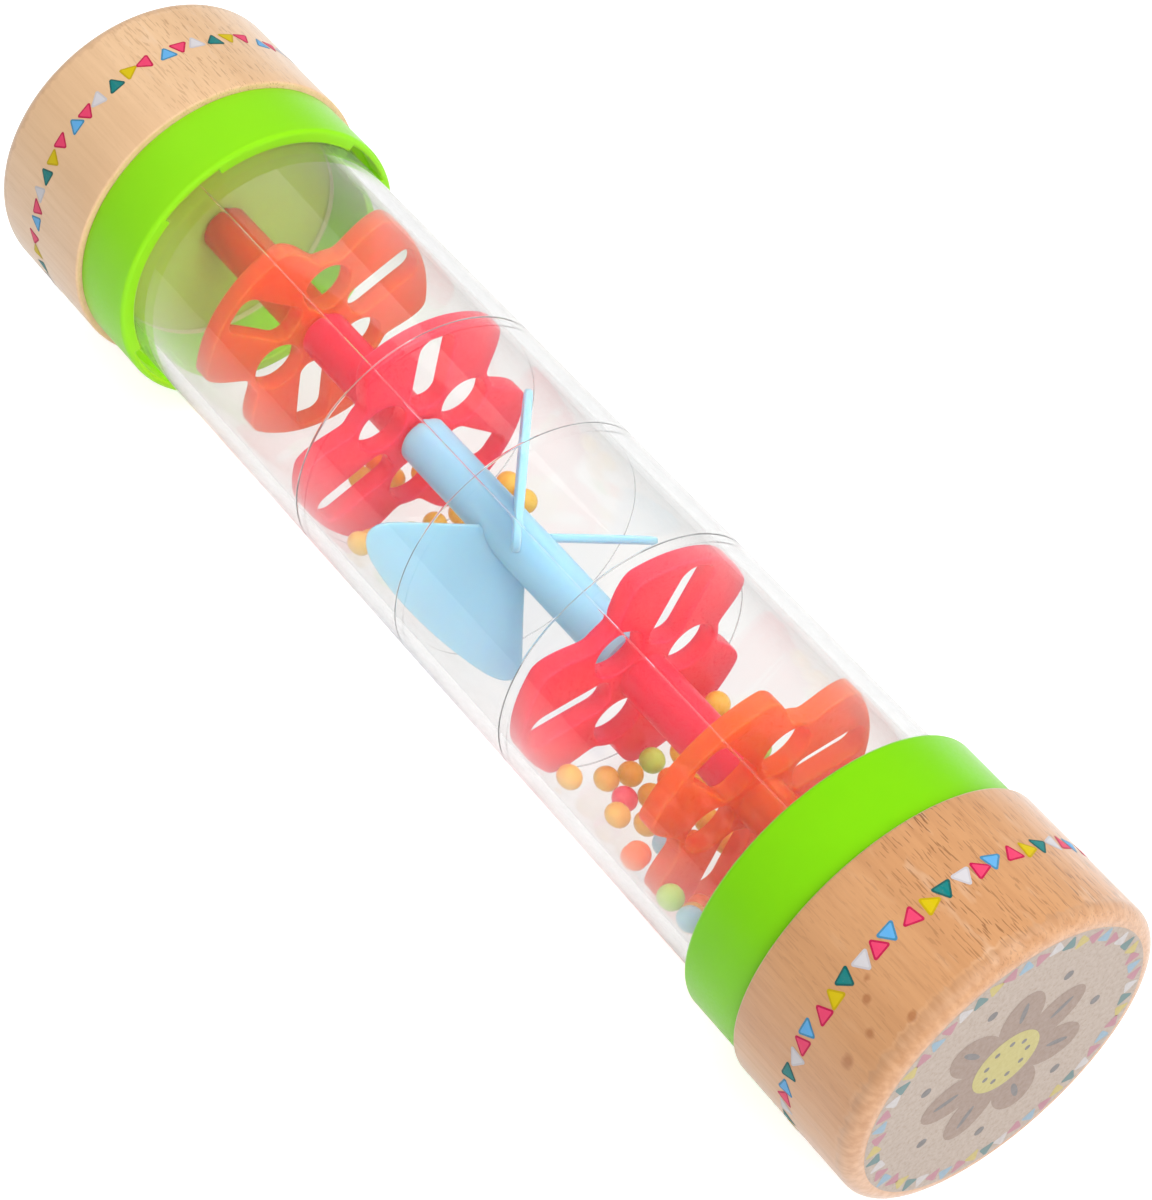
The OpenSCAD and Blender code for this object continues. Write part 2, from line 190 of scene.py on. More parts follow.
def make_beech(name, tones, fleck, pale, share, seed, knots=()):
    m = material(name)
    light, mid, dark = tones
    shift = (seed * 3.1, seed * 1.7, seed * 2.3)
    broad = m.noise(BROAD_WAVES, 2.0, shift=shift)
    fibre = m.noise(FIBRE_WAVES, shift=shift)
    ray = m.noise(RAY_WAVES, 2.0, 0.5, shift)
    vessel = m.noise(VESSEL_WAVES, 1.0, 0.4, shift)
    patch = m.noise(PATCH_WAVES, 1.0, shift=(seed, seed, 0))
    x, y, z = m.axes()
    ring = m.length(m.math("SUBTRACT", y, HEART_Y), m.math("SUBTRACT", z, HEART_Z))
    ring = m.math("ADD", ring, m.math("MULTIPLY", broad, YEAR_STRAY))
    year = m.math("SINE", m.math("MULTIPLY", ring, YEAR_WAVES))
    colour = m.blend(m.spread(broad, 0.3, 0.7), mid, light)
    colour = m.blend(m.spread(fibre, 0.4, 0.75, 0.0, 0.25), colour, dark)
    colour = m.blend(m.spread(year, 0.2, 1.0, 0.0, 0.12), colour, dark)
    # Pale rays and dark vessel lines are cut open on one side of the cap and hardly show on the other
    cut = m.math("MULTIPLY", m.spread(y, *CUT_SIDE, 0.16, 1.0, True), m.spread(patch, 0.35, 0.55, 0.35))
    rays = m.math("MULTIPLY", m.spread(ray, 0.6, 0.72, 0.0, 0.6 * share), cut)
    colour = m.blend(rays, colour, pale)
    marks = m.math("MULTIPLY", m.spread(vessel, 0.595, 0.655, smooth=True), cut)
    colour = m.blend(m.math("MULTIPLY", marks, 0.85 * share), colour, fleck)
    for place, size in knots:
        far = m.tree.nodes.new("ShaderNodeVectorMath")
        far.operation = "DISTANCE"
        m.put(far.inputs[0], m.coord)
        far.inputs[1].default_value = place
        stray = m.math("MULTIPLY", m.math("SUBTRACT", ray, 0.5), KNOT_STRAY)
        away = m.math("ADD", far.outputs["Value"], stray)
        colour = m.blend(m.spread(away, size * 0.4, size, 0.6, 0.0), colour, KNOT_TONE)
    # The rounded outer edge is cut across the fibres: short streaks and a ragged border, and along it a
    # broken painted highlight
    ragged = m.noise(RAGGED_WAVES, 2.0, shift=shift)
    stray = m.math("MULTIPLY", m.math("SUBTRACT", ragged, 0.5), EDGE_STRAY)
    edge = m.math("ADD", m.math("ABSOLUTE", x), stray)
    streak = m.noise(STREAK_WAVES, 2.0, 0.5, shift)
    band = m.blend(m.spread(streak, 0.36, 0.64), *EDGE_TONES)
    colour = m.blend(m.spread(edge, *EDGE_BAND, 0.0, 0.6 * share), colour, band)
    # A broken pale line where the rounded edge starts: a painted highlight
    painted_highlight = m.math("MULTIPLY", m.spread(edge, *EDGE_HIGHLIGHT_START), m.spread(edge, *EDGE_HIGHLIGHT_END, 1.0, 0.0))
    painted_highlight = m.math("MULTIPLY", painted_highlight, m.spread(patch, 0.4, 0.6))
    colour = m.blend(m.math("MULTIPLY", painted_highlight, 0.25 * share), colour, pale)
    height = m.math("SUBTRACT", m.math("MULTIPLY", fibre, 0.35), marks)
    return m.finish(
        m.shader(
            "BsdfPrincipled",
            Base_Color=colour,
            Roughness=m.spread(fibre, 0.3, 0.7, 0.38, 0.54),
            Normal=m.bump(height, 0.35, 0.00008),
            Coat_Weight=0.4,
            Coat_Roughness=0.25,
            Sheen_Weight=0.55,
            Sheen_Roughness=0.35,
        )
    )


# Coloured plastic: scatter is the share of light that goes below the surface, and radius how far in metres
# inside is a paler colour painted on the plate within the collars, painted shade and a painted whitish
# reflection of the tube; see the see-through share and pass_on that share for lamp light
FINE_WAVES = (2400, 2400, 2400)
TINT_WHITE = 0.38
PAINTED_VEIL_OUTER, PAINTED_VEIL_INNER = (BORE_R + 1.2) * MM, (BORE_R + 0.8) * MM


def make_plastic(
    name,
    colour,
    deep,
    rough,
    scatter=0.0,
    radius=(0.004, 0.002, 0.001),
    see=0.0,
    pass_on=0.0,
    cloud=55.0,
    inside=None,
    shine=0.5,
    sheen=0.0,
):
    m = material(name)
    soft = m.noise((cloud, cloud, cloud))
    fine = m.noise(FINE_WAVES, 2.0)
    base = m.blend(m.spread(soft, 0.3, 0.7, 0.0, 0.55), colour, deep)
    # The plate within the collars is painted paler and greyer: painted shade and painted reflection
    if inside:
        y, z = m.axes()[1:]
        from_axis = m.length(y, m.math("SUBTRACT", z, AXIS * MM))
        base = m.blend(m.spread(from_axis, PAINTED_VEIL_OUTER, PAINTED_VEIL_INNER), base, inside)
    solid = m.shader(
        "BsdfPrincipled",
        Base_Color=base,
        Roughness=m.spread(fine, 0.3, 0.7, rough - 0.05, rough + 0.07),
        Normal=m.bump(fine, 0.06, 0.00003),
        IOR=1.46,
        Subsurface_Weight=scatter,
        Subsurface_Radius=radius,
        Subsurface_Scale=1.0,
        Specular_IOR_Level=shine,
        Sheen_Weight=sheen,
        Sheen_Roughness=0.3,
    )
    if not see:
        return m.finish(solid)
    # More light passes on its way from a lamp, so that shadows inside the tube stay coloured and light
    tint = m.shader("BsdfTransparent", Color=m.blend(TINT_WHITE, base, WHITE))
    passed = m.spread(m.ray("Is Shadow Ray"), 0.0, 1.0, see, max(see, pass_on))
    return m.finish(m.mix(passed, solid, tint))


def make_clear(name):
    m = material(name)
    smear = m.noise((30, 90, 90))
    ripple = m.noise((45, 160, 160), 1.0)
    slant = m.node("ShaderNodeLayerWeight", Blend=0.5).outputs["Facing"]
    # The glass turns grey where its wall is seen at a slant: painted shade along the tube's edges
    glass = m.shader(
        "BsdfPrincipled",
        Base_Color=m.blend(m.spread(slant, 0.35, 1.0), srgb(253, 253, 252), srgb(204, 207, 207)),
        Roughness=m.spread(smear, 0.35, 0.75, 0.0, 0.06),
        Normal=m.bump(ripple, 0.05, 0.0001),
        IOR=1.47,
        Transmission_Weight=1.0,
    )
    # A slight haze, as of fine scuffs, which gathers where the wall is seen at a slant
    haze = m.shader("BsdfDiffuse", Color=srgb(250, 250, 249))
    scuffed = m.mix(m.spread(slant, 0.15, 0.9, 0.0, 0.1), glass, haze)
    # Light from a lamp goes straight through
    through = m.shader("BsdfTransparent", Color=(0.995, 0.995, 0.995, 1))
    return m.finish(m.mix(m.ray("Is Shadow Ray"), scuffed, through))


def make_steel(name):
    m = material(name)
    drawn = m.noise((20, 3000, 3000), 2.0)
    return m.finish(
        m.shader(
            "BsdfPrincipled",
            Base_Color=m.blend(drawn, srgb(190, 193, 198), srgb(222, 224, 228)),
            Roughness=m.spread(drawn, 0.3, 0.7, 0.22, 0.38),
            Metallic=1.0,
        )
    )


# Ink printed on wood: the grain below shows through as fine streaks and specks
SPECK_WAVES = (2600, 2600, 2600)
SIDE_GRAIN, END_GRAIN, WASH_GRAIN = (70, 1500, 1500), (1500, 1500, 1500), (1300, 1300, 1300)


def make_ink(name, colour, ground, show, grain):
    m = material(name)
    fibre = m.noise(grain)
    speck = m.noise(SPECK_WAVES, 2.0)
    base = m.blend(m.spread(fibre, 0.35, 0.8, 0.0, show), colour, ground)
    base = m.blend(m.spread(speck, 0.58, 0.72, 0.0, show), base, ground)
    return m.finish(
        m.shader(
            "BsdfPrincipled",
            Base_Color=base,
            Roughness=m.spread(fibre, 0.3, 0.7, 0.4, 0.55),
            Normal=m.bump(fibre, 0.1, 0.00004),
            Specular_IOR_Level=0.25,
        )
    )


# Knots on the near cap: x in millimetres, turn in degrees and radius in metres
KNOTS = (
    (94.4, 137.5, 0.0009),
    (94.3, 148.8, 0.001),
    (91.4, 131.6, 0.0006),
    (89.7, 128.1, 0.0006),
    (97.0, 125.8, 0.0007),
)
beech_near = make_beech(
    "beech_near",
    tones=(srgb(214, 160, 112), srgb(201, 144, 96), srgb(174, 118, 74)),
    fleck=srgb(112, 66, 34),
    pale=srgb(228, 194, 164),
    share=1.0,
    seed=1.0,
    knots=[(point(x, CAP_R, turn), size) for x, turn, size in KNOTS],
)
beech_far = make_beech(
    "beech_far",
    tones=(srgb(236, 197, 155), srgb(227, 186, 143), srgb(205, 159, 115)),
    fleck=srgb(158, 108, 72),
    pale=srgb(234, 206, 178),
    share=0.5,
    seed=4.0,
)
COLLAR_LOOK = {
    "rough": 0.36,
    "scatter": 0.3,
    "radius": (0.003, 0.004, 0.001),
    # The plate within each collar: the same green under painted shade and a painted whitish reflection
    "inside": srgb(160, 200, 78),
    "shine": 0.25,
    "sheen": 0.3,
}
green = make_plastic("collar_green", srgb(129, 211, 8), srgb(121, 204, 5), **COLLAR_LOOK)
# The far collar is the same plastic as the near one: its paler, yellower green is a painted sheen
green_far_painted_sheen = make_plastic("collar_green_far", srgb(143, 221, 26), srgb(136, 215, 20), **COLLAR_LOOK)
orange = make_plastic(
    "disc_orange",
    srgb(255, 108, 36),
    srgb(251, 95, 29),
    rough=0.3,
    scatter=1.0,
    radius=(0.014, 0.004, 0.0015),
    see=0.46,
    pass_on=0.9,
)
pink = make_plastic(
    "disc_pink",
    srgb(252, 52, 78),
    srgb(246, 40, 66),
    rough=0.3,
    scatter=1.0,
    radius=(0.014, 0.0025, 0.004),
    see=0.3,
    pass_on=0.9,
)
blue = make_plastic(
    "propeller_blue",
    srgb(151, 195, 215),
    srgb(143, 189, 211),
    rough=0.34,
    scatter=1.0,
    radius=(0.0015, 0.0025, 0.0035),
    see=0.04,
    pass_on=0.85,
)
clear = make_clear("clear_plastic")
seam = make_plastic("mould_line", srgb(240, 240, 240), srgb(232, 232, 232), rough=0.4, see=0.86)
# The clear tube's cut ends are painted the pale green of the plate seen through them, with the plate's
# painted shade
cut_end = make_plastic("tube_cut_end", srgb(196, 218, 142), srgb(186, 210, 130), rough=0.45)
frost = make_plastic("ring_line", srgb(196, 198, 198), srgb(184, 186, 186), rough=0.45, see=0.6)
steel = make_steel("drawn_steel")
BEAD_COLOURS = {
    "yellow": (srgb(230, 191, 84), srgb(224, 179, 66)),
    "orange": (srgb(250, 140, 62), srgb(244, 118, 50)),
    "pink": (srgb(246, 92, 116), srgb(238, 72, 100)),
    "green": (srgb(194, 226, 116), srgb(178, 214, 96)),
    "blue": (srgb(172, 216, 230), srgb(154, 206, 226)),
}
BEAD_LOOK = {
    "rough": 0.28,
    "scatter": 1.0,
    "radius": (0.004, 0.003, 0.0015),
    "see": 0.25,
    "pass_on": 0.85,
    "cloud": 300.0,
}
bead_mats = {key: make_plastic("bead_" + key, a, b, **BEAD_LOOK) for key, (a, b) in BEAD_COLOURS.items()}

# Inks round the caps, fill and outline, and the paler inks of the end faces
WOOD_GROUND, FACE_GROUND = srgb(204, 156, 112), srgb(160, 140, 124)
INK = {
    "pink": (srgb(227, 64, 108), srgb(190, 23, 77)),
    "yellow": (srgb(208, 184, 0), srgb(190, 162, 0)),
    "teal": (srgb(0, 124, 124), srgb(0, 92, 90)),
    "white": (srgb(206, 203, 207), srgb(194, 190, 195)),
    "sky": (srgb(92, 168, 222), srgb(62, 134, 172)),
}
FACE_INK = {
    "pink": srgb(176, 125, 138),
    "yellow": srgb(187, 172, 108),
    "teal": srgb(99, 129, 130),
    "white": srgb(191, 187, 187),
    "sky": srgb(138, 165, 183),
}
FACE_FIELDS = {
    "wash": (srgb(177, 163, 152), srgb(155, 135, 120), 0.5),
    "brown": (srgb(153, 134, 123), srgb(135, 115, 103), 0.4),
    "yolk": (srgb(183, 174, 115), srgb(168, 153, 105), 0.3),
    "slate": (srgb(123, 120, 120), srgb(114, 106, 103), 0.3),
}
side_inks = []
for key, tones in INK.items():
    for part, tone in zip(("", "_line"), tones):
        side_inks.append(make_ink("ink_" + key + part, tone, WOOD_GROUND, 0.06, SIDE_GRAIN))
face_inks = [make_ink("face_" + key, tone, FACE_GROUND, 0.22, END_GRAIN) for key, tone in FACE_INK.items()]
for key, (tone, ground, show) in FACE_FIELDS.items():
    face_inks.append(make_ink("face_" + key, tone, ground, show, WASH_GRAIN))


# Mesh makers
def to_mesh(bm, name):
    mesh = bpy.data.meshes.new(name)
    bm.to_mesh(mesh)
    bm.free()
    return mesh


def link(name, mesh, mat=None):
    obj = bpy.data.objects.new(name, mesh)
    scene.collection.objects.link(obj)
    if mat is not None:
        mesh.materials.clear()
        mesh.materials.append(mat)
    return obj


def smooth(mesh, angle=35):
    for p in mesh.polygons:
        p.use_smooth = True
    mesh.set_sharp_from_angle(angle=math.radians(angle))
    return mesh


def arc(cx, cy, r, first, last, steps):
    turns = [math.radians(first + (last - first) * i / steps) for i in range(steps + 1)]
    return [(cx + r * math.cos(t), cy + r * math.sin(t)) for t in turns]


# A turned mesh about the tube axis from (radius, x) points in millimetres
def lathe(profile, steps=240, closed=False, angles=None, lift=None):
    angles = angles or [360 * i / steps for i in range(steps)]
    bm = bmesh.new()
    rings = []
    for r, x in profile:
        if r == 0:
            rings.append([bm.verts.new(point(x, 0, 0))])
        else:
            rings.append([bm.verts.new(point(x, r + (lift(r, x, a) if lift else 0), a)) for a in angles])
    pairs = list(zip(rings, rings[1:])) + ([(rings[-1], rings[0])] if closed else [])
    count = len(angles)
    for a, b in pairs:
        for i in range(count):
            j = (i + 1) % count
            if len(a) == 1:
                bm.faces.new((a[0], b[i], b[j]))
            elif len(b) == 1:
                bm.faces.new((a[i], b[0], a[j]))
            else:
                bm.faces.new((a[i], b[i], b[j], a[j]))
    bmesh.ops.recalc_face_normals(bm, faces=bm.faces)
    return smooth(to_mesh(bm, "turned"))


# A flat plate with holes and rounded edges, drawn in millimetres about Z
def plate(loops, thickness, edge):
    data = bpy.data.curves.new("plate", "CURVE")
    data.dimensions = "2D"
    data.fill_mode = "BOTH"
    data.extrude = thickness / 2 - edge
    data.bevel_depth = edge
    data.bevel_resolution = 3
    data.offset = -edge
    for loop in loops:
        spline = data.splines.new("POLY")
        spline.points.add(len(loop) - 1)
        for p, (x, y) in zip(spline.points, loop):
            p.co = (x, y, 0, 1)
        spline.use_cyclic_u = True
    obj = bpy.data.objects.new("plate", data)
    scene.collection.objects.link(obj)
    graph = bpy.context.evaluated_depsgraph_get()
    mesh = bpy.data.meshes.new_from_object(obj.evaluated_get(graph))
    bpy.data.objects.remove(obj)
    bpy.data.curves.remove(data)
    bm = bmesh.new()
    bm.from_mesh(mesh)
    bmesh.ops.remove_doubles(bm, verts=bm.verts, dist=0.0005)
    bmesh.ops.recalc_face_normals(bm, faces=bm.faces)
    bm.to_mesh(mesh)
    bm.free()
    return mesh


def mirrored(mesh):
    mesh = mesh.copy()
    mesh.transform(FLIP_X)
    mesh.flip_normals()
    return smooth(mesh)


def applied(obj):
    graph = bpy.context.evaluated_depsgraph_get()
    mesh = bpy.data.meshes.new_from_object(obj.evaluated_get(graph))
    obj.modifiers.clear()
    obj.data = mesh
    return obj


def carve(obj, tools, operation):
    for tool in tools:
        mod = obj.modifiers.new("cut", "BOOLEAN")
        mod.operation = operation
        mod.solver = "EXACT"
        mod.object = tool
    applied(obj)
    for tool in tools:
        bpy.data.objects.remove(tool)
    return obj


def stand_for(obj, body, slot, *names):
    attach(obj, body)
    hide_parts(*names)
    return obj


# Clear tube with ring lines and a fine mould line on each side
# Each ring line is its x, half width and depth
RINGS = ((-24.0, 0.2, 0.05), (0.0, 0.16, 0.03), (24.0, 0.2, 0.05))
TUBE_STEPS = 224
SEAM_TURNS = (-0.6, -0.4, -0.15, 0.15, 0.4, 0.6)


def tube_lift(r, x, a):
    if r < TUBE_R - 0.5 or abs(x) > SEAM_STOP:
        return 0.0
    off = min((a - SEAM_ANGLE) % 180, (SEAM_ANGLE - a) % 180)
    return SEAM_HEIGHT * max(0.0, 1 - (math.radians(off) * TUBE_R / SEAM_HALF) ** 2)


def groove(x, width, depth):
    steps = [k / 4 for k in range(-4, 5)]
    dip = [(TUBE_R - depth * (0.5 + 0.5 * math.cos(math.pi * s)), x + width * s) for s in steps]
    return [(TUBE_R, x - width - RING_LAND)] + dip + [(TUBE_R, x + width + RING_LAND)]


end_rows = [(TUBE_R, SEAM_STOP + step) for step in (-0.3, -0.1, 0.1)]
end_rows += [(TUBE_R, TUBE_END - 2 * TUBE_CHAMFER), (TUBE_R, TUBE_END - TUBE_CHAMFER)]
end_rows += [(TUBE_R - TUBE_CHAMFER, TUBE_END)]
outer = [(r, -x) for r, x in reversed(end_rows)]
for ring in RINGS:
    outer += groove(*ring)
outer += end_rows
bore_end = [(BORE_R + TUBE_CHAMFER, TUBE_END), (BORE_R, TUBE_END - TUBE_CHAMFER)]
inner = bore_end + [(r, -x) for r, x in reversed(bore_end)]
turns = {round(360 * i / TUBE_STEPS, 4) for i in range(TUBE_STEPS)}
turns |= {round((SEAM_ANGLE + half + d) % 360, 4) for half in (0, 180) for d in SEAM_TURNS}
tube = link("tube_wall", lathe(outer + inner, closed=True, angles=sorted(turns), lift=tube_lift), clear)
for mat in (frost, seam, cut_end):
    tube.data.materials.append(mat)
FROST, SEAM, CUT_END = 1, 2, 3
for f in tube.data.polygons:
    x, y, z = f.center.x / MM, f.center.y / MM, f.center.z / MM - AXIS
    if min(abs(x - ring[0]) for ring in RINGS) < RING_FROST and math.hypot(y, z) > BORE_R + 1:
        f.material_index = FROST
    off = abs(math.degrees(math.atan2(z, y)) % 180 - SEAM_ANGLE)
    if off < 0.1 and abs(x) < MOUTH_X and abs(f.normal.x) < 0.5:
        f.material_index = SEAM
    if abs(f.normal.x) > 0.2 and abs(x) > PLATE_X - 0.5:
        f.material_index = CUT_END
stand_for(tube, "shell", "clear_tube", "clear_tube")

# Green collars with notched mouths and soft edges
collar_profile = [(0, SOCKET_X), (SOCKET_BORE, SOCKET_X), (SOCKET_BORE, PLATE_X), (COLLAR_BORE, PLATE_X)]
collar_profile += [(COLLAR_BORE, MOUTH_X + COLLAR_CHAMFER), (COLLAR_BORE + COLLAR_CHAMFER, MOUTH_X)]
collar_profile += arc(COLLAR_R - COLLAR_EDGE, MOUTH_X + COLLAR_EDGE, COLLAR_EDGE, -90, 0, 8)
collar_profile += [(COLLAR_R, CAP_X - COLLAR_CHAMFER), (COLLAR_R - COLLAR_CHAMFER, CAP_X)]
collar_profile += [(SPIGOT_R, CAP_X), (SPIGOT_R, SPIGOT_X), (SPIGOT_IN, SPIGOT_X), (SPIGOT_IN, CAP_X)]
collar_profile += [(SOCKET_R, CAP_X), (SOCKET_R, SOCKET_X + SOCKET_FLOOR), (0, SOCKET_X + SOCKET_FLOOR)]
NOTCH_STEPS, NOTCH_CLEAR = 18, 1
notch_low, notch_high = COLLAR_BORE - 0.6, COLLAR_BORE + NOTCH_DEPTH
notch_start, notch_end = MOUTH_X - NOTCH_CLEAR, MOUTH_X + NOTCH_LENGTH


def notch_cutter(mid):
    corners = [(notch_low, notch_start), (notch_high, notch_start)]
    corners += [(notch_high, notch_end), (notch_low, notch_end)]
    bm = bmesh.new()
    rows = []
    for i in range(NOTCH_STEPS + 1):
        a = mid + NOTCH_SPAN * (i / NOTCH_STEPS - 0.5)
        rows.append([bm.verts.new(point(x, r, a)) for r, x in corners])
    for a, b in zip(rows, rows[1:]):
        for i in range(4):
            j = (i + 1) % 4
            bm.faces.new((a[i], a[j], b[j], b[i]))
    bm.faces.new(rows[0])
    bm.faces.new(rows[-1])
    bmesh.ops.recalc_face_normals(bm, faces=bm.faces)
    return link("notch", to_mesh(bm, "notch"))


collar = link("collar_right_moulded", lathe(collar_profile), green)
carve(collar, [notch_cutter(NOTCH_ANGLE + 360 / NOTCH_COUNT * k) for k in range(NOTCH_COUNT)], "DIFFERENCE")
bevel = collar.modifiers.new("soft", "BEVEL")
bevel.width = COLLAR_SOFT * MM
bevel.segments = 2
bevel.limit_method = "ANGLE"
bevel.angle_limit = math.radians(50)
applied(collar)
smooth(collar.data, 40)
collar_left = link("collar_left_moulded", mirrored(collar.data), green_far_painted_sheen)
stand_for(collar, "shell", "collar", "collar_right")
stand_for(collar_left, "shell", "collar", "collar_left")

# Beech end caps
FACE_RINGS = (4, 8, 12, 16, 19, 21)
SIDE_ROWS = 6
cap_straight = HALF - CAP_EDGE - CAP_X - CAP_JOINT
cap_profile = [(0, HALF)] + [(r, HALF) for r in FACE_RINGS]
cap_profile += arc(CAP_R - CAP_EDGE, HALF - CAP_EDGE, CAP_EDGE, 90, 0, 12)
cap_profile += [(CAP_R, CAP_X + CAP_JOINT + cap_straight * i / SIDE_ROWS) for i in reversed(range(SIDE_ROWS))]
cap_profile += arc(CAP_R - CAP_JOINT, CAP_X + CAP_JOINT, CAP_JOINT, 0, -90, 4)[1:]
cap_profile += [(SPIGOT_R + SPIGOT_FIT, CAP_X), (SPIGOT_R + SPIGOT_FIT, RECESS_X), (0, RECESS_X)]
cap = link("cap_right_turned", lathe(cap_profile), beech_near)
cap_left = link("cap_left_turned", mirrored(cap.data), beech_far)
stand_for(cap, "shell", "beech", "end_cap_right")
stand_for(cap_left, "shell", "beech", "end_cap_left")


# Slotted discs with long hubs
def rim(a):
    v = abs(a % 120 - 60)
    t = max(0.0, min(1.0, (v - VALLEY_FLOOR) / VALLEY_RISE))
    return VALLEY_R + (LOBE_R - VALLEY_R) * t * t * (3 - 2 * t)


# An opening in a plate runs the other way round than the rim
def opening(points, turn):
    c, s = math.cos(math.radians(turn)), math.sin(math.radians(turn))
    return [(c * x - s * y, s * x + c * y) for x, y in reversed(points)]


def circle(cx, r):
    return arc(cx, 0, r, 0, 360, 48)[:-1]


slot_x0, slot_x1, slot_y = SLOT_IN + SLOT_CORNER, SLOT_OUT - SLOT_CORNER, SLOT_HALF - SLOT_CORNER
long_slot = (
    arc(slot_x1, -slot_y, SLOT_CORNER, -90, 0, 8)
    + arc(slot_x1, slot_y, SLOT_CORNER, 0, 90, 8)
    + arc(slot_x0, slot_y, SLOT_CORNER, 90, 180, 8)
    + arc(slot_x0, -slot_y, SLOT_CORNER, 180, 270, 8)
)
rim_turns = [(rim(a), math.radians(a)) for a in range(0, 360, 2)]
disc_loops = [[(r * math.cos(t), r * math.sin(t)) for r, t in rim_turns]]
for k in range(3):
    disc_loops.append(opening(long_slot, 120 * k))
    disc_loops.append(opening(circle(HOLE_PLACE, HOLE_R), 120 * k + 60))
disc_loops.append(opening(circle(0, HUB_SEAT), 0))
disc_plate = plate(disc_loops, DISC_T, DISC_EDGE)


# The plate and the hub are one solid, with a small fillet where the hub leaves the plate
def disc_object(name, x, hub_end, angle):
    flat = disc_plate.copy()
    flat.transform(Matrix.Translation((0, 0, x)) @ Matrix.Rotation(math.radians(angle), 4, "Z"))
    flat.transform(TO_AXIS)
    back, front = x - DISC_T / 2, x + DISC_T / 2
    profile = [(HUB_BORE, back - HUB_PROUD), (HUB_R, back - HUB_PROUD), (HUB_R, back + 1.0)]
    profile += [(HUB_R + HUB_FILLET, front - HUB_FILLET)]
    profile += arc(HUB_R + HUB_FILLET, front + HUB_FILLET - FILLET_SINK, HUB_FILLET, -90, -180, 5)
    profile += [(HUB_R, hub_end - HUB_EDGE), (HUB_R - HUB_EDGE, hub_end), (HUB_BORE, hub_end)]
    return carve(link(name, flat), [link("hub", lathe(profile, 64, closed=True))], "UNION")


pink_end = ORANGE_X - DISC_T / 2 - END_PLAY
orange_end = PLATE_X - END_PLAY
for colour, side, mat, x, end, angle in (
    ("orange", "left", orange, ORANGE_X, orange_end, ORANGE_LEFT),
    ("pink", "left", pink, PINK_X, pink_end, PINK_LEFT),
    ("pink", "right", pink, PINK_X, pink_end, PINK_RIGHT),
    ("orange", "right", orange, ORANGE_X, orange_end, ORANGE_RIGHT),
):
    node = "disc_%s_%s" % (colour, side)
    obj = disc_object(node + "_moulded", x, end, angle)
    obj.data = mirrored(obj.data) if side == "left" else smooth(obj.data)
    obj.data.materials.clear()
    obj.data.materials.append(mat)
    stand_for(obj, "%s_disc_%s" % (colour, side), "disc_" + colour, node)

# Propeller: flat blades with straight sides, an elliptic tip and rounded corners, which stand at a pitch
blade_wide = BLADE_R / math.sin(math.radians(BLADE_PITCH))
flare = math.radians(BLADE_FLARE)
reach = math.hypot(BLADE_R * math.tan(flare), blade_wide)
corner_t = math.atan2(BLADE_R * math.tan(flare), blade_wide) + math.asin(BLADE_ROOT / 2 / reach)
corner_run = math.hypot(BLADE_R * math.sin(corner_t), blade_wide * math.cos(corner_t))
edge_t = corner_t - BLADE_CORNER / corner_run


def tip(t):
    return Vector((BLADE_R * math.cos(t), blade_wide * math.sin(t)))


def corner(t):
    a = tip(corner_t) - BLADE_CORNER * Vector((math.cos(flare), math.sin(flare)))
    b, c = tip(corner_t), tip(edge_t)
    return (a * (1 - t) + b * t) * (1 - t) + (b * (1 - t) + c * t) * t


top = [corner(i / 10) for i in range(11)] + [tip(edge_t * (1 - i / 10)) for i in range(1, 11)]
outline = [Vector((0, BLADE_ROOT / 2))] + top + [Vector((p.x, -p.y)) for p in reversed(top[:-1])]
outline.append(Vector((0, -BLADE_ROOT / 2)))
blade_plate = plate([[(p.x, p.y) for p in reversed(outline)]], BLADE_T, BLADE_EDGE)


# Each blade starts inside the hub, clear of the rod
def blade_object(k):
    cut = bmesh.new()
    cut.from_mesh(blade_plate)
    parts = cut.verts[:] + cut.edges[:] + cut.faces[:]
    start = (BLADE_START, 0, 0)
    bmesh.ops.bisect_plane(cut, geom=parts, plane_co=start, plane_no=(-1, 0, 0), clear_outer=True)
    bmesh.ops.holes_fill(cut, edges=[e for e in cut.edges if e.is_boundary], sides=0)
    bmesh.ops.recalc_face_normals(cut, faces=cut.faces)
    mesh = to_mesh(cut, "blade")
    turn = Matrix.Rotation(math.radians(BLADE_ANGLE + 120 * k), 4, "Z")
    pitch = Matrix.Rotation(math.radians(90 - BLADE_PITCH), 4, "X")
    mesh.transform(Matrix.Translation((0, 0, BLADE_SHIFT)) @ turn @ pitch)
    mesh.transform(TO_AXIS)
    return link("blade", mesh)


HUB_ROWS = 12
prop_x = PINK_X - DISC_T / 2 - END_PLAY
straight_x = prop_x - PROPELLER_EDGE
hub_profile = [(HUB_BORE, -prop_x), (HUB_R - PROPELLER_EDGE, -prop_x)]
hub_profile += [(HUB_R, straight_x * (2 * i / HUB_ROWS - 1)) for i in range(HUB_ROWS + 1)]
hub_profile += [(HUB_R - PROPELLER_EDGE, prop_x), (HUB_BORE, prop_x)]
prop = link("propeller_moulded", lathe(hub_profile, 96, closed=True), blue)
carve(prop, [blade_object(k) for k in range(3)], "UNION")
smooth(prop.data, 38)
stand_for(prop, "propeller", "propeller", "propeller")

# Centre rod keeps its CAD shape
nodes["centre_rod"].data.materials.clear()
nodes["centre_rod"].data.materials.append(steel)

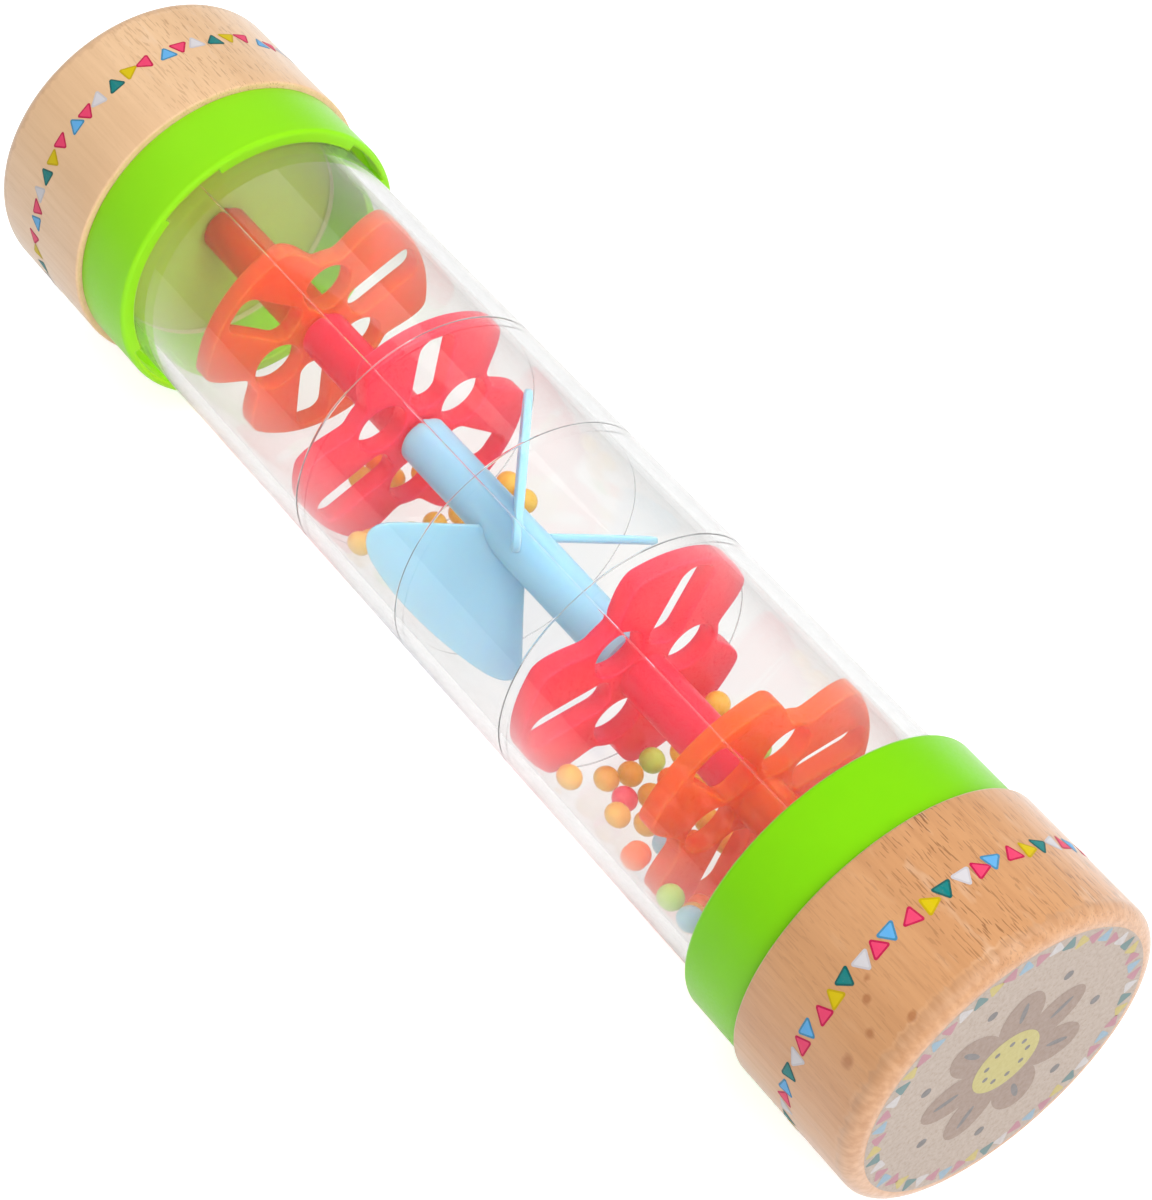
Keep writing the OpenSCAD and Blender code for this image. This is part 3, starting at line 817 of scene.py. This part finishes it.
# Beads, one mesh per chamber and colour, each bead with a faint mould ring
# A bead is (row from the bottom towards +Y, place along the row in bead pitches, colour)
Y, O, P, G, B = "yellow", "orange", "pink", "green", "blue"
UPPER = [(-1, 1.4, Y), (0, 0.8, Y), (0, 1.9, O), (1, 0.3, Y)]
MIDDLE = [(-4, 0.5, Y), (-3, 0.1, Y), (-1, 0, G), (0, 0, Y), (0, 1.1, O)]
MIDDLE += [(1, 0.2, Y), (3, 0.7, Y), (3, 1.7, Y)]
LOWER = [(-5, 4.2, O), (-4, 0, Y), (-4, 3.7, O), (-3, 1.7, Y)]
LOWER += [(-2, 0, Y), (-2, 1, P), (-2, 2.2, Y), (-2, 3.2, B)]
LOWER += [(-1, 0.1, Y), (-1, 1.2, Y), (-1, 2.4, Y), (-1, 3.5, O)]
LOWER += [(0, 0, G), (0, 1, O), (0, 2, Y), (0, 3, Y), (0, 4, Y)]
LOWER += [(1, 0.4, Y), (1, 1.4, Y), (1, 2.4, O), (1, 3.4, Y)]
LOWER += [(2, 0.2, Y), (2, 1.2, Y), (2, 2.2, G), (2, 3.2, Y), (2, 4.2, P)]
LOWER += [(3, 0, Y), (3, 1.1, Y), (3, 2.2, G), (3, 3.2, Y)]
END = [(-5, 0, G), (-5, 1, B), (-4, 0.5, Y), (-4, 1.6, O), (-3, 0, O), (-3, 1.1, Y), (-3, 2.2, P)]
END += [(-2, 0.4, Y), (-2, 1.4, G), (-2, 2.4, Y), (-1, 0, Y), (-1, 1, O), (-1, 2, B), (-1, 3, Y)]
END += [(0, 0.5, Y), (0, 1.5, P), (0, 2.5, Y), (1, 0, Y), (1, 1, G), (1, 2, Y), (1, 3, O)]
END += [(2, 0.4, Y), (2, 1.4, Y), (2, 2.4, B), (3, 0, P), (3, 1.1, Y), (3, 2.2, Y)]
END += [(4, 0.5, Y), (4, 1.6, G), (5, 0, O), (5, 1, Y)]
# Each heap lies against the face of a disc and goes on from it along X or against X
HEAPS = {
    "upper": (-PINK_X - DISC_T / 2, -1, UPPER),
    "middle": (-PINK_X + DISC_T / 2, 1, MIDDLE),
    "lower": (PINK_X + DISC_T / 2, 1, LOWER),
    "end": (ORANGE_X + DISC_T / 2, 1, END),
}
BEAD_STAND = BEAD_GAP + BEAD_D / 2
TRACK_R = BORE_R - BEAD_STAND
# The turn of the bottom of the tube and the turn from row to row, in degrees
BOTTOM = 270
ROW_TURN = math.degrees(2 * math.asin(0.5 * BEAD_PITCH / TRACK_R))
MOULD_RING = 1.012


def bead_mesh():
    bm = bmesh.new()
    bmesh.ops.create_uvsphere(bm, u_segments=28, v_segments=20, radius=BEAD_D / 2 * MM)
    for v in bm.verts:
        if abs(v.co.z) < 1e-6:
            v.co.x *= MOULD_RING
            v.co.y *= MOULD_RING
    return to_mesh(bm, "bead")


one_bead = bead_mesh()
for chamber, (face, way, beads) in HEAPS.items():
    for colour in sorted({bead[2] for bead in beads}):
        bm = bmesh.new()
        for i, (row, along, bead_colour) in enumerate(beads):
            if bead_colour != colour:
                continue
            x = face + way * (BEAD_STAND + along * BEAD_PITCH)
            # Each bead is turned another way, so that the mould rings do not line up
            copy = one_bead.copy()
            copy.transform(Matrix.Rotation(i * 1.7, 4, "X") @ Matrix.Rotation(i * 2.3, 4, "Y"))
            copy.transform(Matrix.Translation(point(x, TRACK_R, BOTTOM + row * ROW_TURN)))
            bm.from_mesh(copy)
            bpy.data.meshes.remove(copy)
        node = "%s_beads_%s" % (chamber, colour)
        obj = link(node + "_moulded", smooth(to_mesh(bm, "beads"), 60), bead_mats[colour])
        stand_for(obj, chamber + "_heap", "bead_" + colour, node)

# Printed bunting round each cap and round each end face
# Colours in the order of the print, with the turn and the small shifts of each triangle in the order
CYCLE = ("teal", "yellow", "pink", "sky", "pink", "white")
TURNS = (88, 45, 22, 84, 38, 100)
ALONG = (0.4, 0.1, 0.0, 1.4, 0.2, -0.4)
ACROSS = (-0.2, 0.2, 0.3, -0.3, 0.05, -0.1)
SIDE_REACH, FACE_REACH, CORNER_R, CORNER_LEAST = 1.47, 1.3, 0.3, 0.08
OUTLINE_WIDE, OUTLINE_LIFT, FILL_LIFT = 0.17, 0.025, 0.04
# Triangles also lean by so many degrees and stray by so many millimetres, so that no two are quite alike
SIDE_LEAN, SIDE_STRAY, FACE_LEAN, FACE_STRAY = 14, 0.15, 20, 0.25


def rounded_triangle(reach, turn, inset):
    r = max(CORNER_LEAST, CORNER_R - inset)
    middle = reach - 2 * inset - r
    pts = []
    for k in range(3):
        a = math.radians(turn + 120 * k)
        cx, cy = middle * math.cos(a), middle * math.sin(a)
        for d in (-60, -30, 0, 30, 60):
            b = a + math.radians(d)
            pts.append((cx + r * math.cos(b), cy + r * math.sin(b)))
    return pts


def fan(bm, points, centre, index):
    mid = bm.verts.new(centre)
    ring = [bm.verts.new(p) for p in points]
    for i in range(len(ring)):
        face = bm.faces.new((mid, ring[i], ring[(i + 1) % len(ring)]))
        face.material_index = index


def print_object(name, bm, inks):
    mesh = to_mesh(bm, name)
    obj = link(name, mesh)
    for mat in inks:
        mesh.materials.append(mat)
    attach(obj, "shell")


def side_bunting(name, side, middle, start, count, first):
    bm = bmesh.new()
    keys = list(INK)
    for i in range(first, first + count):
        ink = 2 * keys.index(CYCLE[i % 6])
        theta = start + side * (i * 360 / count + ALONG[i % 6])
        turn = side * (TURNS[i % 6] + SIDE_LEAN * math.sin(i * 2.4))
        x = side * (middle + ACROSS[i % 6] + SIDE_STRAY * math.sin(i * 1.9))
        for inset, lift, index in ((0.0, OUTLINE_LIFT, ink + 1), (OUTLINE_WIDE, FILL_LIFT, ink)):
            r = CAP_R + lift
            shape = rounded_triangle(SIDE_REACH, turn, inset)
            pts = [point(x + v, r, theta + math.degrees(u / CAP_R)) for u, v in shape]
            fan(bm, pts, point(x, r, theta), index)
    bmesh.ops.recalc_face_normals(bm, faces=bm.faces)
    for f in bm.faces:
        mid = f.calc_center_median()
        if f.normal.dot(Vector((0, mid.y, mid.z - AXIS * MM))) < 0:
            f.normal_flip()
    print_object(name, bm, side_inks)


def face_shape(bm, points, side, lift, index):
    cy = sum(p[0] for p in points) / len(points)
    cz = sum(p[1] for p in points) / len(points)
    x = side * (HALF + lift) * MM
    fan(bm, [(x, p[0] * MM, (AXIS + p[1]) * MM) for p in points], (x, cy * MM, (AXIS + cz) * MM), index)


# An oval on an end face: its middle lies out from the centre at a turn, and lean turns the oval itself
def oval(out, turn, a, b, count, lean=0):
    cy, cz = out * math.cos(math.radians(turn)), out * math.sin(math.radians(turn))
    c, s = math.cos(math.radians(lean)), math.sin(math.radians(lean))
    pts = []
    for i in range(count):
        t = 2 * math.pi * i / count
        u, v = a * math.cos(t), b * math.sin(t)
        pts.append((cy + c * u - s * v, cz + s * u + c * v))
    return pts


# The end face: a pale wash, bunting along its border and a flower with seven petals and seven dots
WASH_R, BORDER_R, BORDER_COUNT, PETALS, SEEDS = 21.9, 20.3, 54, 7, 9
YOLK_R, SEED_OUT, SEED_R, DOT_OUT, DOT_R = 5.3, 3.4, 0.45, 14.2, 0.8
PETAL_OUT, PETAL_LONG, PETAL_WIDE, VEIN_OUT, VEIN_LONG, VEIN_WIDE = 8.3, 5.0, 3.5, 9.4, 2.0, 0.5
WASH_LIFT, BORDER_LIFT, PETAL_STEP = 0.015, 0.03, 0.001
VEIN_LIFT, YOLK_LIFT, SEED_LIFT = 0.042, 0.045, 0.055


def face_print(name, side, start):
    bm = bmesh.new()
    keys = list(FACE_INK) + list(FACE_FIELDS)
    wash, brown, yolk, slate = (keys.index(field) for field in ("wash", "brown", "yolk", "slate"))
    face_shape(bm, oval(0, 0, WASH_R, WASH_R, 120), side, WASH_LIFT, wash)
    for i in range(BORDER_COUNT):
        theta = math.radians(start - side * (i * 360 / BORDER_COUNT))
        turn = side * (TURNS[i % 6] + FACE_LEAN * math.sin(i * 2.1))
        pts = []
        for u, v in rounded_triangle(FACE_REACH, turn, 0.0):
            r = BORDER_R + v + FACE_STRAY * math.sin(i * 1.9)
            t = theta + u / BORDER_R
            pts.append((r * math.cos(t), r * math.sin(t)))
        face_shape(bm, pts, side, BORDER_LIFT, keys.index(CYCLE[i % 6]))
    for k in range(PETALS):
        a = start + 360 / PETALS * k
        b = a + 180 / PETALS
        petal = oval(PETAL_OUT, a, PETAL_LONG, PETAL_WIDE, 28, a)
        face_shape(bm, petal, side, BORDER_LIFT + PETAL_STEP * k, brown)
        face_shape(bm, oval(VEIN_OUT, a, VEIN_LONG, VEIN_WIDE, 16, a), side, VEIN_LIFT, slate)
        face_shape(bm, oval(DOT_OUT, b, DOT_R, DOT_R, 16, b), side, BORDER_LIFT, slate)
    face_shape(bm, oval(0, 0, YOLK_R, YOLK_R, 40), side, YOLK_LIFT, yolk)
    for k in range(SEEDS):
        face_shape(bm, oval(SEED_OUT, 360 / SEEDS * k, SEED_R, SEED_R, 12), side, SEED_LIFT, slate)
    bm.normal_update()
    for f in bm.faces:
        if f.normal.x * side < 0:
            f.normal_flip()
    print_object(name, bm, face_inks)


side_bunting("bunting_right", 1, middle=88.0, start=94.8, count=58, first=-45)
side_bunting("bunting_left", -1, middle=89.2, start=110.0, count=54, first=0)
face_print("end_print_right", 1, start=28.4)
face_print("end_print_left", -1, start=30)

# Floor: white to the camera, and through the tube mostly plain white with a little of its shadow left
FLOOR_SIZE, FLOOR_Z = 4.0, -0.0002
FLOOR_SEEN, FLOOR_MIRROR, FLOOR_THROUGH = 0.6, 0.1, 0.8
bm = bmesh.new()
bmesh.ops.create_grid(bm, x_segments=2, y_segments=2, size=FLOOR_SIZE)
m = material("floor_white")
dust = m.noise((6, 6, 6), 2.0)
matte = m.shader("BsdfDiffuse", Color=m.blend(dust, (0.9, 0.9, 0.9, 1), (0.92, 0.92, 0.92, 1)))
seen = m.math("MULTIPLY", m.ray("Is Camera Ray"), FLOOR_SEEN)
mirror = m.math("MULTIPLY", m.ray("Is Glossy Ray"), FLOOR_MIRROR)
both = m.tree.nodes.new("ShaderNodeAddShader")
m.put(both.inputs[0], matte)
m.put(both.inputs[1], m.shader("Emission", Color=WHITE, Strength=m.math("ADD", seen, mirror)))
plain = m.shader("Emission", Color=WHITE, Strength=1.0)
through_tube = m.math("MULTIPLY", m.ray("Is Transmission Ray"), FLOOR_THROUGH)
floor = link("floor", to_mesh(bm, "floor"), m.finish(m.mix(through_tube, both.outputs[0], plain)))
floor.location.z = FLOOR_Z

# World: white to the camera and through the tube, a low even light on the object
WORLD_LIGHT, WORLD_GLOSS_LESS = 0.28, -0.08
scene.world = bpy.data.worlds.new("studio")
w = Nodes(scene.world, "ShaderNodeOutputWorld")
direct = w.math("MAXIMUM", w.ray("Is Camera Ray"), w.ray("Is Transmission Ray"))
level = w.spread(direct, 0.0, 1.0, WORLD_LIGHT, 1.0)
strength = w.math("ADD", level, w.math("MULTIPLY", w.ray("Is Glossy Ray"), WORLD_GLOSS_LESS))
w.finish(w.shader("Background", Color=WHITE, Strength=strength))


# Square lamps, aimed at the middle of the object
AIM = Vector((0, 0, 0.02))


def area(name, place, size, power):
    data = bpy.data.lights.new(name, "AREA")
    data.shape = "RECTANGLE"
    data.size, data.size_y = size, size
    data.energy = power
    obj = bpy.data.objects.new(name, data)
    scene.collection.objects.link(obj)
    obj.location = place
    obj.rotation_mode = "QUATERNION"
    obj.rotation_quaternion = (AIM - Vector(place)).to_track_quat("-Z", "Y")
    obj.visible_glossy = False


area("key", (0.35, 0.35, 1.0), size=0.7, power=7.7)
area("front", (0.85, -0.1, 0.72), size=0.8, power=6.2)
area("side", (0.5, -0.7, 0.7), size=0.8, power=2.1)
area("back", (-0.9, 0.2, 0.6), size=0.8, power=2.6)

# Camera, fitted to the rims in the photograph: its focal length and the photograph's height are in pixels
FOCAL_PIXELS, PHOTO_PIXELS, SENSOR = 3324.65, 1200, 36.0
CAMERA_RIGHT, CAMERA_UP = Vector((0.5881, 0.8088, 0)), Vector((-0.6275, 0.4564, 0.6308))
CAMERA_AHEAD = Vector((-0.5102, 0.3710, -0.7759))
cam_data = bpy.data.cameras.new("camera")
cam_data.sensor_width = SENSOR
cam_data.lens = FOCAL_PIXELS / PHOTO_PIXELS * SENSOR
cam_data.clip_start, cam_data.clip_end = 0.01, 20
cam = bpy.data.objects.new("camera", cam_data)
scene.collection.objects.link(cam)
cam.location = (0.23905, -0.16514, 0.34592 + AXIS * MM)
cam.rotation_mode = "QUATERNION"
cam.rotation_quaternion = Matrix((CAMERA_RIGHT, CAMERA_UP, -CAMERA_AHEAD)).transposed().to_quaternion()
scene.camera = cam

scene.view_settings.view_transform = "Standard"
